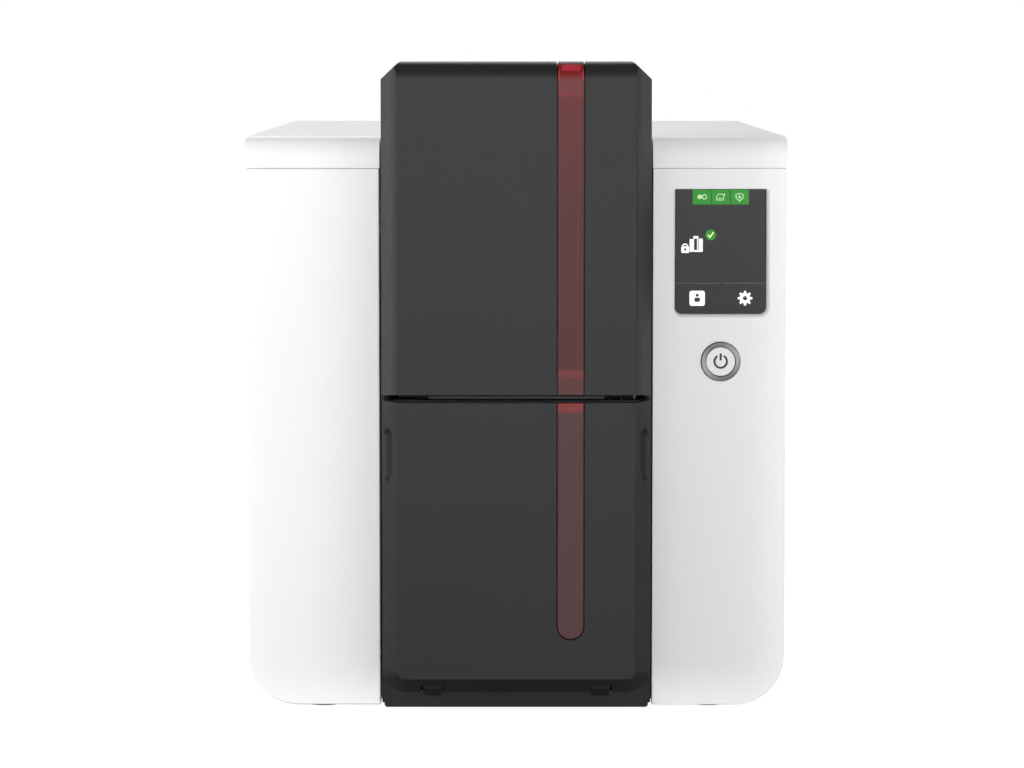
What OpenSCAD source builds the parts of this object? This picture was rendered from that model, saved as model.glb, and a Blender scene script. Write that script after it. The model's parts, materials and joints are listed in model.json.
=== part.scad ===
// Desktop ID card printer. Origin: centre of the footprint on the table.
// +X to the right as seen from the front, the front faces -Y, +Z up. Millimetres.

/* [Body] */
// Width over the hood
body_w = 205; // [203:0.5:209]
// Distance of the white front wall in front of the origin
body_front = 119.5; // [118:0.5:121]
// Distance of the rear wall behind the origin
body_rear = 190.5; // [189.5:0.5:192]
// Height of the hood's top
hood_top = 219; // [218:0.5:222]
// Height of the seam under the hood
seam_z = 206.9; // [206.5:0.1:207.4]
// Wall of the white shells
shell_t = 2.4; // [2:0.1:2.8]
// Radius of the lower outer corners
corner_r = 19; // [17:0.5:20]

/* [Card module] */
// Distance of the doors' front face in front of the origin
module_front = 190.5; // [188:0.5:192]
// Height of the module's top
module_top = 247.2; // [244:0.2:250]
// Half width of the doors' flat front panel
panel_half = 43; // [42:0.5:44]
// Half width over the module's side walls
module_half = 49; // [48:0.5:50]
// Wall of the doors
door_t = 2; // [1.6:0.1:2.2]
// Left edge of the red strip
strip_x0 = 15.05; // [12:0.1:16]
// Width of the red strip
strip_w = 9.2; // [8:0.1:12]

/* [Card path] */
// Height of the card path
path_z = 130; // [129.8:0.1:130.2]
// Radius of the driven rollers
roller_r = 6; // [5.5:0.1:6]
// Width of a card
card_w = 54; // [53:0.1:54]

/* [Control panel] */
// Centre of the power button, across
button_x = 77.4; // [74:0.1:80]
// Centre of the power button, height
button_z = 133.7; // [130:0.1:136]
// Radius of the power button's cap
button_r = 5.45; // [5:0.1:6]

/* [Hidden] */
$fn = 64;

hw = body_w / 2;           // half width over the hood
sw = hw - 0.3;             // half width over the side covers
yf = -body_front;
yr = body_rear;
ym = -module_front;
shell_z0 = 2.3;            // underside of the shells
split_y = yr - 7.3;        // joint between side covers and rear panel
hinge_y = yr - 3.5;        // hood hinge axis
hinge_z = seam_z + 0.1;
rear_top = hinge_z - 3.8;  // top of the rear panel, clear of the hood's barrel
bez_half = 51.25;
fd_z0 = 127.3;             // underside of the feeder door
fd_ax = [ym + 3, fd_z0 + 1];     // feeder door axis, y and z
od_z1 = 124.4;             // top of the output door
od_ax = [ym + 9.5, 20.2];        // output door axis, y and z
strip_gap = 0.5;          // shadow gap round the red strip
gap_depth = 0.6;
od_z0 = 17.3;              // lowest edge of the output door
shaft_z = path_z - roller_r;
front_y = -78;             // driven rollers
platen_y = -10;
rear_y = 78;
clean_y = -48;
takeup_y = -62;            // ribbon spools
supply_y = 42;
spool_z = 165;
motor_y = 38;
motor_z = 60;
pick_y = -150;
roller_ys = [front_y, platen_y, rear_y];
belt_r = 7.5;

function arc(cx, cy, r, a0, a1, n = 10) =
  [for (i = [0:n]) let (a = a0 + (a1 - a0) * i / n) [cx + r * cos(a), cy + r * sin(a)]];

// Profile in (Y, Z) run along X from x0 to x1
module along_x(x0, x1) translate([x0, 0, 0]) rotate([90, 0, 90]) linear_extrude(x1 - x0) children();
// Profile in (X, Z) run along Y from y0 to y1
module along_y(y0, y1) translate([0, y1, 0]) rotate([90, 0, 0]) linear_extrude(y1 - y0) children();
module rod_x(x0, x1, y, z, r) translate([x0, y, z]) rotate([0, 90, 0]) cylinder(r = r, h = x1 - x0);
module rod_y(y0, y1, x, z, r) translate([x, y0, z]) rotate([-90, 0, 0]) cylinder(r = r, h = y1 - y0);
module box(x0, x1, y0, y1, z0, z1) translate([x0, y0, z0]) cube([x1 - x0, y1 - y0, z1 - z0]);
module both() { children(); mirror([1, 0, 0]) children(); }
module tube_x(x0, x1, y, z, ro, ri) difference() {
  rod_x(x0, x1, y, z, ro);
  rod_x(x0 - 1, x1 + 1, y, z, ri);
}
module tube_y(y0, y1, x, z, ro, ri) difference() {
  rod_y(y0, y1, x, z, ro);
  rod_y(y0 - 1, y1 + 1, x, z, ri);
}

// ---------- base ----------
module base_pan() color([0.16, 0.16, 0.17]) difference() {
  union() {
    box(-bez_half, bez_half, yf + 5, split_y, shell_z0, 6.9);
    box(-82, 82, yf + 5, split_y - 1, 4.8, 6.9);
    box(-50.2, 50.2, yf - 0.5, yf + 6, 2.4, 4.3);
    along_y(yf - 2.5, yf - 0.4) difference() {
      foot_outline();
      bin_outline(0.3);
    }
    for (y = [30, 172], x = [50, 86]) translate([x - (x > 80 ? 6 : 0), y, 6.5]) cylinder(r = 3, h = 7.5);
  }
  for (s = [-1, 1], y = [-100, 168]) translate([s * 74, y, 0]) cylinder(r = 2.6, h = 20);
}

// Front block under the output hopper, in (X, Z)
module foot_outline() {
  translate([-50.2, 3]) square([100.4, 21.4]);
  translate([-49, 1.8]) square([98, 6]);
  for (x = [-49, 49]) translate([x, 3]) circle(r = 1.2);
}
// Lower outline of the output hopper, in (X, Z), grown by g
module bin_outline(g) {
  translate([-60, 25.1]) square([120, 150]);
  translate([-41.5, 17.6 - g]) square([83, 40]);
  for (s = [-1, 1]) translate([s * 41.5, 25.1]) circle(r = 7.5 + g);
}

module rubber_feet() color([0.08, 0.08, 0.08])
  for (s = [-1, 1], y = [-100, 168]) translate([s * 74, y, 0]) {
    cylinder(r = 8, h = shell_z0);
    cylinder(r = 2.5, h = 8.5);
  }

// Outline of the body in (X, Z), moved in by t
module body_outline(t) {
  translate([-sw + t, shell_z0 + corner_r]) square([2 * (sw - t), 300]);
  translate([-sw + corner_r, shell_z0 + t]) square([2 * (sw - corner_r), 300]);
  for (s = [-1, 1]) translate([s * (sw - corner_r), shell_z0 + corner_r]) circle(r = corner_r - t);
}

module side_cover() difference() {
  along_y(yf, split_y) body_outline(0);
  along_y(yf + shell_t, split_y + 1) body_outline(shell_t);
  box(-51.65, 200, yf - 1, yr, -1, 300);
  box(-200, 200, yf - 1, yr, seam_z - 0.12, 400);
  translate([-74, -100, 0]) cylinder(r = 2.6, h = 10);
  translate([-74, 168, 0]) cylinder(r = 2.6, h = 10);
}
module cover_rib() {
  box(-53.65, -51.65, yf + 1, yf + 12, 20, seam_z - 2);
  for (z = [44, 186]) difference() {
    box(-sw + 1, -sw + 11, split_y - 20, split_y, z - 5, z + 5);
    rod_y(split_y - 25, split_y + 1, -sw + 6.5, z, 1.55);
  }
}

module left_cover() color([0.93, 0.93, 0.93]) { side_cover(); cover_rib(); }

module right_cover() color([0.93, 0.93, 0.93]) difference() {
  mirror([1, 0, 0]) { side_cover(); cover_rib(); }
  along_y(yf - 1, yf + 5) screen_outline(0.15);
  rod_y(yf - 1, yf + 5, button_x, button_z, 7.5);
}
// Screen in (X, Z): square above, rounded at both lower corners
module screen_outline(g) {
  translate([60.1 - g, 154.4]) square([34.2 + 2 * g, 44.4 + g]);
  translate([62.6, 151.9 - g]) square([29.2, 20]);
  for (x = [62.6, 91.8]) translate([x, 154.4]) circle(r = 2.5 + g);
}

module rear_panel() color([0.9, 0.9, 0.9]) difference() {
  union() {
    difference() {
      along_y(split_y + 0.4, yr) body_outline(0);
      along_y(split_y, yr - 2.6) body_outline(shell_t);
      box(-200, 200, 0, 200, rear_top, 400);
    }
    // ears for the hood's hinge
    both() difference() {
      union() {
        rod_x(80, 84, hinge_y, hinge_z, 3.2);
        box(80, 84, hinge_y - 3.2, yr - 1, rear_top - 8, hinge_z);
      }
      rod_x(79, 85, hinge_y, hinge_z, 1.5);
      box(79, 85, yr - 0.3, yr + 5, hinge_z - 3, hinge_z + 9);
    }
  }
  // reject tray, ports, fan grille, lock slot
  box(-33, 33, yr - 4, yr + 1, 35.8, 73.2);
  box(79.6, 93.4, yr - 4, yr + 1, 15.9, 30.2);
  box(61.6, 78.4, yr - 4, yr + 1, 15.9, 29.9);
  box(47.6, 60.4, yr - 4, yr + 1, 15.9, 27.4);
  for (i = [0:6]) box(-77, -43, yr - 4, yr + 1, 104 + 5 * i, 106.4 + 5 * i);
  box(-90.5, -83.5, yr - 4, yr + 1, 60, 63);
  for (s = [-1, 1], z = [44, 186]) {
    rod_y(yr - 4, yr + 1, s * (sw - 6.5), z, 1.6);
    rod_y(yr - 1.3, yr + 1, s * (sw - 6.5), z, 3.2);
  }
  for (s = [-1, 1], i = [0:5]) box(s > 0 ? 40 : -96, s > 0 ? 96 : -40, yr - 4, yr + 1, 150 + 6 * i, 152.4 + 6 * i);
}

module case_screws() color([0.55, 0.56, 0.58])
  for (s = [-1, 1], z = [44, 186]) difference() {
    union() {
      rod_y(yr - 1.25, yr - 0.1, s * (sw - 6.5), z, 3);
      rod_y(yr - 16, yr - 1.2, s * (sw - 6.5), z, 1.5);
    }
    box(s * (sw - 6.5) - 2, s * (sw - 6.5) + 2, yr - 0.7, yr + 1, z - 0.35, z + 0.35);
    box(s * (sw - 6.5) - 0.35, s * (sw - 6.5) + 0.35, yr - 0.7, yr + 1, z - 2, z + 2);
  }

// ---------- hood ----------
hood_r = 8;
module hood_side(t) {
  polygon(concat(
    [[yf + t, seam_z - (t > 0 ? 5 : 0)]],
    arc(yf + hood_r, hood_top - hood_r, hood_r - t, 180, 98, 8),
    [[yf + hood_r + 1, hood_top - t], [yr - t - 0.01, hood_top - t], [yr - t - 0.01, seam_z - (t > 0 ? 5 : 0)]]));
}
module hood() color([0.93, 0.93, 0.93]) {
  box(-bez_half - 2, bez_half + 2, yf + 4, yf + 6, seam_z, hood_top - 2.8);
  hood_shell();
}
module hood_shell() difference() {
  union() {
    intersection() {
      along_x(-hw, hw) hood_side(0);
      along_y(yf - 1, yr + 1) {
        translate([-hw, 0]) square([2 * hw, hood_top - 2]);
        translate([-hw + 2, 0]) square([2 * hw - 4, hood_top + 5]);
        for (s = [-1, 1]) translate([s * (hw - 2), hood_top - 2]) circle(r = 2);
      }
    }
    rod_x(-hw, hw, hinge_y, hinge_z, 3.5);
  }
  // inside
  intersection() {
    along_x(-hw + 2.6, hw - 2.6) hood_side(3);
    box(-200, 200, -200, yr - 8.5, 100, 300);
  }
  // room for the front bezel
  box(-bez_half - 0.4, bez_half + 0.4, yf - 5, yf + 4, 190, 300);
  // shallow channel along the top
  along_y(yf + 12, yr + 5) polygon([[-52.1, hood_top - 1.3], [52.1, hood_top - 1.3], [55.2, hood_top + 0.02], [55.2, hood_top + 3], [-55.2, hood_top + 3], [-55.2, hood_top + 0.02]]);
  // hinge slots and bores
  both() {
    box(79.6, 84.4, hinge_y - 6, yr + 5, 190, hinge_z + 6);
    rod_x(74, 92, hinge_y, hinge_z, 1.56);
  }
}
module hood_hinge_pins() color([0.7, 0.7, 0.72]) both() rod_x(75, 91, hinge_y, hinge_z, 1.5);

module hood_catch() color([0.3, 0.3, 0.32]) difference() {
  box(-9, 9, yf + 6.2, yf + 9.5, 196, 215.5);
  rod_x(-10, 10, yf + 5.6, 200, 1.5);
}

module print_head_bracket() color([0.62, 0.63, 0.65]) difference() {
  union() {
    box(-32, 32, platen_y - 6, platen_y + 6, 150, 152);
    both() box(29, 32, platen_y - 8, platen_y + 8, 142.2, 215.9);
    box(-32, 32, platen_y - 8, platen_y - 6, 150, 215.9);
  }
  both() rod_x(28, 33, platen_y, 200, 3);
  rod_y(platen_y - 10, platen_y - 4, 0, 185, 8);
}

module print_head() color([0.25, 0.25, 0.27]) difference() {
  union() {
    box(-28.8, 28.8, platen_y - 5.6, platen_y + 6, 136, 149.9);
    along_x(-28, 28) polygon([[platen_y - 4, 136], [platen_y - 1.5, 131.9], [platen_y + 1.5, 131.9], [platen_y + 4, 136]]);
  }
  for (i = [-4:4]) box(i * 6 - 1, i * 6 + 1, platen_y - 7, platen_y - 3.5, 139, 151);
}

// ---------- card feeder ----------
module module_plan(t) polygon([[-panel_half + t * 0.83, ym + t], [panel_half - t * 0.83, ym + t],
  [module_half - t, ym + 11.2 + t * 0.2], [module_half - t, yf - 0.7 + t * 5],
  [-module_half + t, yf - 0.7 + t * 5], [-module_half + t, ym + 11.2 + t * 0.2]]);
module feeder_side(t) {
  zt = module_top - t;
  polygon(concat(
    [[ym + t, fd_z0 - (t > 0 ? 3 : 0)]],
    arc(ym + 6.5, module_top - 6.5, 6.5 - t, 180, 67, 10),
    [[yf - 0.7 + (t > 0 ? 9 : 0), hood_top + 0.4 - t * 1.08 - (t > 0 ? 3.8 : 0)], [yf - 0.7 + (t > 0 ? 9 : 0), fd_z0 - (t > 0 ? 3 : 1)], [ym + 11.2, fd_z0 - (t > 0 ? 3 : 1)]]));
}
// Bevel cut off both top side edges: level over the front, then down the slope
module feeder_bevel(t) both() translate([-t, 0, -t]) {
  along_y(ym - 5, yf + 10) polygon(concat([[41, 262], [41, 247.2]], arc(41, 244.7, 2.5, 80, 42, 4), [[49.3, 240.45], [60, 240.45], [60, 262]]));
  translate([49, ym + 9.04, 246.68]) rotate([-24, 0, 0]) along_y(-12, 80) polygon([[-3.5, 0], [0, -2.97], [9, -2.97], [9, 9], [-3.5, 9]]);
}
module feeder_solid(t) difference() {
  intersection() {
    along_x(-60, 60) feeder_side(t);
    translate([0, 0, 90]) linear_extrude(220) module_plan(t);
  }
  feeder_bevel(t * 0.6);
}
module feeder_shell() difference() {
  feeder_solid(0);
  feeder_solid(door_t);
}
module feeder_door() color([0.25, 0.25, 0.26]) difference() {
  union() {
    difference() {
      feeder_shell();
      box(strip_x0 - strip_gap, strip_x0 + strip_w + strip_gap, ym - 1, ym + 12, fd_z0 + 5.5, 300);
      box(strip_x0 - strip_gap, strip_x0 + strip_w + strip_gap, ym - 1, ym + 1, fd_z0 - 1, fd_z0 + 6);
      // room for the fixed knuckle
      both() rod_x(37, 40, fd_ax[0], fd_ax[1], 2.5);
    }
    both() { rod_x(34.6, 37, fd_ax[0], fd_ax[1], 2.3); rod_x(40, 42.4, fd_ax[0], fd_ax[1], 2.3); }
  }
  both() rod_x(34, 43, fd_ax[0], fd_ax[1], 1.26);
}
// Strip flush with the door, with a step that floors the shadow gap and a
// flange glued behind the opening
module feeder_window() color([0.45, 0.16, 0.18, 0.8]) union() {
  intersection() {
    difference() { feeder_solid(0); feeder_solid(door_t + 0.75); }
    box(strip_x0, strip_x0 + strip_w, ym - 1, ym + 11.9, fd_z0 + 5.6, 300);
  }
  intersection() {
    difference() { feeder_solid(gap_depth); feeder_solid(door_t + 0.75); }
    box(strip_x0 + 0.1 - strip_gap, strip_x0 + strip_w - 0.1 + strip_gap, ym - 1, ym + 11.9, fd_z0 + 5.6, 300);
  }
  intersection() {
    difference() { feeder_solid(door_t + 0.05); feeder_solid(door_t + 0.75); }
    box(strip_x0 - 1, strip_x0 + strip_w + 1, ym - 1, ym + 11.9, fd_z0 + 7, 300);
  }
  intersection() {
    feeder_shell();
    box(strip_x0, strip_x0 + strip_w, ym - 1, ym + 0.9, fd_z0 - 1, fd_z0 + 7);
  }
}
module feeder_hinge_pins() color([0.7, 0.7, 0.72]) both() rod_x(35, 42, fd_ax[0], fd_ax[1], 1.2);

hop = card_w / 2 + 0.6;   // inside half width of the card hopper
module feeder_housing() color([0.2, 0.2, 0.21]) difference() {
  union() {
    box(-36, 36, -183, yf + 24, 127.8, 130);
    both() box(hop, hop + 2, -183, yf + 24.5, 129, 192);
    difference() {
      box(-hop - 1, hop + 1, yf + 24, yf + 26.5, 129, 192);
      box(-hop + 0.5, hop - 0.5, yf + 20, yf + 30, 130, 133.4);
    }
    both() difference() {
      box(hop + 1, 45.5, yf - 3.4, yf - 0.9, 134, 192);
      rod_y(yf - 6, yf + 2, 38, 180, 1.7);
      rod_y(yf - 6, yf + 2, 38, 146, 1.7);
    }
    both() box(29, 35, pick_y - 6, pick_y + 6, 119, 128.5);
    // knuckles of the door hinge, and the lip that fills the gap between the doors
    both() {
      rod_x(37.3, 39.7, fd_ax[0], fd_ax[1], 2.2);
      box(37.3, 39.7, fd_ax[0], -178, fd_ax[1] - 1.7, fd_ax[1] + 0.6);
      box(33, 39.7, -181, -178, 127.8, 128.9);
    }
    box(-32, 32, ym + 6.4, ym + 8.5, 125.2, 126.6);
    box(-32, 32, ym + 7.5, ym + 9.2, 125.2, 128);
  }
  both() rod_x(36, 41, fd_ax[0], fd_ax[1], 1.2);
  box(-26, 26, pick_y - 6.9, pick_y + 6.9, 115, 131);
  both() rod_x(25, 37, pick_y, shaft_z, 3.05);
}

module card_pusher() color([0.32, 0.32, 0.34]) difference() {
  union() {
    box(-hop + 0.5, hop - 0.5, -181, yf + 23.5, 133, 136.4);
    box(-12, 12, -152, -128, 136, 140);
  }
  box(-8, 8, -148, -132, 138, 141);
}

module thickness_gauge() color([0.75, 0.3, 0.1]) difference() {
  union() {
    box(-11, 11, yf + 26.8, yf + 28.4, 133.6, 150);
    box(-4, 4, yf + 26.8, yf + 33, 147, 150);
  }
  box(-6, 6, yf + 26, yf + 29, 138, 143);
}

// ---------- output hopper ----------
// Front outline of the output door in (X, Z): half width, lower edge, corner radius, top
module out_loop(half, zb, r, zt) {
  translate([-half, zb + r]) square([2 * half, zt - zb - r]);
  for (s = [-1, 1]) translate([s * (half - r), zb + r]) circle(r = r, $fn = 40);
}
module out_solid() hull() {
  along_y(ym, ym + 0.01) out_loop(panel_half, 23.7, 2.5, od_z1);
  along_y(ym + 10.6, ym + 11) out_loop(48.75, od_z0, 8.6, od_z1);
}
module out_shell() difference() {
  out_solid();
  hull() {
    along_y(ym + door_t, ym + door_t + 0.01) out_loop(panel_half - 1.6, 25.6, 1.5, od_z1 + 20);
    along_y(ym + 11.5, ym + 12) out_loop(46.8, od_z0 + 2.1, 7, od_z1 + 20);
  }
}
module strip_slot(g) {
  translate([strip_x0 - g, 38.5 + strip_w / 2]) square([strip_w + 2 * g, 100]);
  translate([strip_x0 + strip_w / 2, 38.5 + strip_w / 2]) circle(r = strip_w / 2 + g);
}
module output_door() color([0.25, 0.25, 0.26]) difference() {
  union() {
    difference() {
      out_shell();
      along_y(ym - 1, ym + 4) strip_slot(strip_gap);
      // room for the knuckles of the bin
      both() { rod_x(26.6, 35, od_ax[0], od_ax[1], 3.7); box(26.6, 35, od_ax[0], od_ax[0] + 9, 10, 26); }
    }
    intersection() {
      both() for (x = [22.5, 35.2]) {
        rod_x(x, x + 3.7, od_ax[0], od_ax[1], 2.4);
        box(x, x + 3.7, ym + 1, od_ax[0], 18.6, 22.4);
      }
      out_solid();
    }
  }
  both() rod_x(21.5, 39.5, od_ax[0], od_ax[1], 1.36);
  // finger grips
  both() grip(4.9);
}
// Long shallow scoop in the side bevel
module grip(r) translate([49.76, ym + 4.68, 0]) {
  translate([0, 0, 98.3]) cylinder(r = r, h = 13.3);
  for (z = [98.3, 111.6]) translate([0, 0, z]) sphere(r = r);
}
module output_window() color([0.45, 0.16, 0.18, 0.8]) {
  along_y(ym, ym + door_t + 0.75) intersection() {
    strip_slot(0);
    translate([0, 30]) square([60, od_z1 - 30 - 0.1]);
  }
  along_y(ym + gap_depth, ym + door_t + 0.75) intersection() {
    strip_slot(strip_gap - 0.1);
    translate([0, 30]) square([60, od_z1 - 30 - 0.1]);
  }
  along_y(ym + door_t + 0.05, ym + door_t + 0.75) intersection() {
    strip_slot(1);
    translate([0, 30]) square([60, od_z1 - 30 - 0.1]);
  }
}
module output_hinge_pins() color([0.7, 0.7, 0.72]) both() rod_x(22.8, 38.2, od_ax[0], od_ax[1], 1.3);

bin_y0 = ym + 11.6;
module output_bin() color([0.22, 0.22, 0.23]) difference() {
  union() {
    difference() {
      intersection() {
        box(-module_half, module_half, bin_y0, yf - 0.6, od_z0, od_z1);
        along_y(-200, -100) bin_outline(0);
      }
      box(-module_half + 2.4, module_half - 2.4, bin_y0 - 1, yf - 3, 24, 200);
      box(-39, 39, bin_y0 - 1, yf - 3, 19, 40);
      box(-28.6, 28.6, yf - 10, yf + 10, 24, 119);
      // room for the lower edge of the door as it tilts
      rod_x(-47.6, 47.6, od_ax[0], od_ax[1], 4.4);
    }
    // pocket that reaches back into the body
    difference() {
      box(-30.6, 30.6, yf - 1, yf + 25.5, 22, 116);
      box(-28.6, 28.6, yf - 3, yf + 23.5, 24, 120);
    }
    // stiffening bar across the top of the hopper
    box(-47.5, 47.5, bin_y0 + 1.5, bin_y0 + 5, 120.5, 124.2);
    // knuckles
    both() { rod_x(27, 34, od_ax[0], od_ax[1], 2.9); box(27, 34, od_ax[0], bin_y0 + 6, 17.3, 21); }
    // stop under each knuckle, rounded at its lower corners
    both() intersection() {
      along_x(27, 34) polygon([[od_ax[0] + 0.3, 17.8], [od_ax[0] + 2.4, 15.8], [bin_y0 + 6, 15.8], [bin_y0 + 6, 18.4], [od_ax[0] + 0.3, 18.4]]);
      along_y(-190, -160) {
        translate([27, 17]) square([7, 5]);
        translate([28.2, 15.8]) square([4.6, 5]);
        for (x = [28.2, 32.8]) translate([x, 17]) circle(r = 1.2);
      }
    }
  }
  both() rod_x(26, 35, od_ax[0], od_ax[1], 1.3);
  box(37, 46.4, -158.5, yf + 10, 115.5, 130);
}

// ---------- front bezel ----------
module front_bezel() color([0.2, 0.2, 0.21]) difference() {
  intersection() {
    box(-bez_half, bez_half, yf, yf + 3.5, 4.6, hood_top);
    along_x(-60, 60) union() {
      polygon(concat([[yf, 0]], arc(yf + hood_r, hood_top - hood_r, hood_r, 180, 98, 8), [[yf + 10, hood_top], [yf + 10, 0]]));
    }
  }
  box(-46, 46, yf - 1, yf + 5, 21.6, 196);
}

// ---------- chassis ----------
module frame_plate(x0) difference() {
  union() {
    difference() {
      along_x(x0, x0 + 1.6) polygon([[-90, 7], [150, 7], [150, 150], [60, 178], [-106, 178], [-106, 196], [-110, 196], [-110, 178], [-110, 138], [-90, 134]]);
      for (y = [takeup_y, supply_y]) {
        rod_x(x0 - 1, x0 + 3, y, spool_z, 4.2);
        box(x0 - 1, x0 + 3, y - 4.2, y + 4.2, spool_z, 200);
      }
      for (y = roller_ys) rod_x(x0 - 1, x0 + 3, y, shaft_z, 5);
      rod_x(x0 - 1, x0 + 3, clean_y, shaft_z, 2.56);
      for (y = [front_y, rear_y]) rod_x(x0 - 1, x0 + 3, y, path_z + 7.2, 2.56);
      box(x0 - 1, x0 + 3, 96, 130, 86, 124);
      box(x0 - 1, x0 + 3, -76, -20, 50, 96);
    }
  }
}
module foot_flange(s) difference() {
  box(s > 0 ? 36 : -48, s > 0 ? 48 : -36, -90, 24, 6.9, 8.5);
  for (y = [-80, 10]) translate([s * 42, y, 0]) cylinder(r = 1.7, h = 20);
}
module frame_left_plate() color([0.7, 0.71, 0.73]) { frame_plate(-37.6); foot_flange(-1); }
module frame_right_plate() color([0.7, 0.71, 0.73]) difference() {
  union() { frame_plate(36); foot_flange(1); }
  rod_x(35, 39, motor_y, motor_z, 11.2);
  for (a = [-1, 1], b = [-1, 1]) rod_x(35, 39, motor_y + a * 15.5, motor_z + b * 15.5, 1.6);
}
module frame_cross_bars() color([0.72, 0.72, 0.74])
  for (p = [[-84, 16], [-60, 40], [136, 22], [144, 118]]) rod_x(-36, 36, p[0], p[1], 4);

module card_guide() color([0.85, 0.85, 0.86]) difference() {
  union() {
    box(-35.6, 35.6, -89, 112, 127, 129);
    both() {
      box(28.5, 30, -89, platen_y - 12, 128.5, 133);
      box(28.5, 30, platen_y + 12, 112, 128.5, 133);
      box(34, 36, platen_y - 12, platen_y + 12, 118, 129);
    }
  }
  for (y = roller_ys) box(-27.5, 27.5, y - 6.7, y + 6.7, 120, 134);
  for (y = roller_ys) both() { rod_x(30, 40, y, shaft_z, 5.2); rod_x(27, 31, y, shaft_z, 3.7); }
  box(-27.5, 27.5, clean_y - 5.4, clean_y + 5.4, 120, 134);
}

module shaft_bushings() color([0.62, 0.5, 0.25])
  for (y = roller_ys, x = [-38.2, 35.4]) difference() {
    union() { rod_x(x, x + 2.8, y, shaft_z, 4.98); }
    rod_x(x - 1, x + 4, y, shaft_z, 3.05);
  }

module roller(y, r, x1) {
  difference() { rod_x(-26, 26, y, shaft_z, r); rod_x(-27, 27, y, shaft_z, 2.5); }
  difference() { rod_x(-39, x1, y, shaft_z, 3); box(x1 - 4, x1 + 1, y + 2.4, y + 5, shaft_z - 5, shaft_z + 5); }
}
module pulley(y, x0, x1) difference() {
  union() {
    rod_x(x0, x1, y, shaft_z, 6);
    rod_x(x0, x0 + 0.5, y, shaft_z, 6.8);
    rod_x(x1 - 0.5, x1, y, shaft_z, 6.8);
  }
  rod_x(x0 - 1, x1 + 1, y, shaft_z, 3.02);
  for (a = [0:60:300]) translate([0, y, shaft_z]) rotate([a, 0, 0]) rod_x(x0 - 1, x1 + 1, 4.5, 0, 0.6);
}
module pick_roller() color([0.15, 0.15, 0.16]) union() {
  rod_x(-25, 25, pick_y, shaft_z, roller_r + 0.6);
  rod_x(-35.6, 45, pick_y, shaft_z, 3);
}
module pick_pulley() color([0.8, 0.8, 0.8]) pulley(pick_y, 38.6, 44);
module front_roller() color([0.15, 0.15, 0.16]) roller(front_y, roller_r, 45);
module front_pulley() color([0.8, 0.8, 0.8]) pulley(front_y, 38.6, 44);
module cleaning_roller() color([0.35, 0.55, 0.75]) union() {
  rod_x(-26, 26, clean_y, shaft_z, 5.6);
  rod_x(-38.4, 38.4, clean_y, shaft_z, 2.5);
}
module platen_roller() color([0.12, 0.12, 0.12]) roller(platen_y, roller_r, 45);
module platen_pulley() color([0.8, 0.8, 0.8]) pulley(platen_y, 38.6, 44);
module rear_roller() color([0.15, 0.15, 0.16]) roller(rear_y, roller_r, 50);
module rear_pulley() color([0.8, 0.8, 0.8]) { pulley(rear_y, 38.6, 44); pulley(rear_y, 44.4, 49.6); }
module pinch(y) { rod_x(-24, 24, y, path_z + 7.2, 6); rod_x(-38.4, 38.4, y, path_z + 7.2, 2.5); }
module front_pinch_roller() color([0.7, 0.7, 0.72]) pinch(front_y);
module rear_pinch_roller() color([0.7, 0.7, 0.72]) pinch(rear_y);

// Belt loop between two pulley centres p and q in (Y, Z)
module belt(x0, x1, p, q) {
  d = q - p;
  len = norm(d);
  translate([0, p[0], p[1]]) rotate([atan2(d[1], d[0]), 0, 0]) difference() {
    union() { rod_x(x0, x1, 0, 0, belt_r); rod_x(x0, x1, len, 0, belt_r); box(x0, x1, 0, len, -belt_r, belt_r); }
    rod_x(x0 - 1, x1 + 1, 0, 0, belt_r - 1.2);
    rod_x(x0 - 1, x1 + 1, len, 0, belt_r - 1.2);
    box(x0 - 1, x1 + 1, 0, len, -belt_r + 1.2, belt_r - 1.2);
  }
}
module roller_belt() color([0.1, 0.1, 0.1]) belt(39.3, 43.3, [pick_y, shaft_z], [rear_y, shaft_z]);
module motor_belt() color([0.1, 0.1, 0.1]) belt(45.1, 48.9, [motor_y, motor_z], [rear_y, shaft_z]);
module motor_pulley() color([0.8, 0.8, 0.8]) difference() {
  union() {
    rod_x(38.5, 49.6, motor_y, motor_z, 2.5);
    rod_x(44.4, 49.6, motor_y, motor_z, 6);
    rod_x(44.4, 44.9, motor_y, motor_z, 6.8);
    rod_x(49.1, 49.6, motor_y, motor_z, 6.8);
  }
  box(48, 50, motor_y - 0.4, motor_y + 0.4, motor_z - 4, motor_z + 4);
}
module main_motor() color([0.18, 0.18, 0.19]) difference() {
  union() {
    box(2, 35.9, motor_y - 21, motor_y + 21, motor_z - 21, motor_z + 21);
    rod_x(35, 38, motor_y, motor_z, 11);
  }
  for (a = [-21, 21], b = [-21, 21]) translate([0, motor_y + a, motor_z + b]) rotate([45, 0, 0]) box(0, 40, -3, 3, -3, 3);
  rod_x(37, 40, motor_y, motor_z, 3.5);
}

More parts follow.
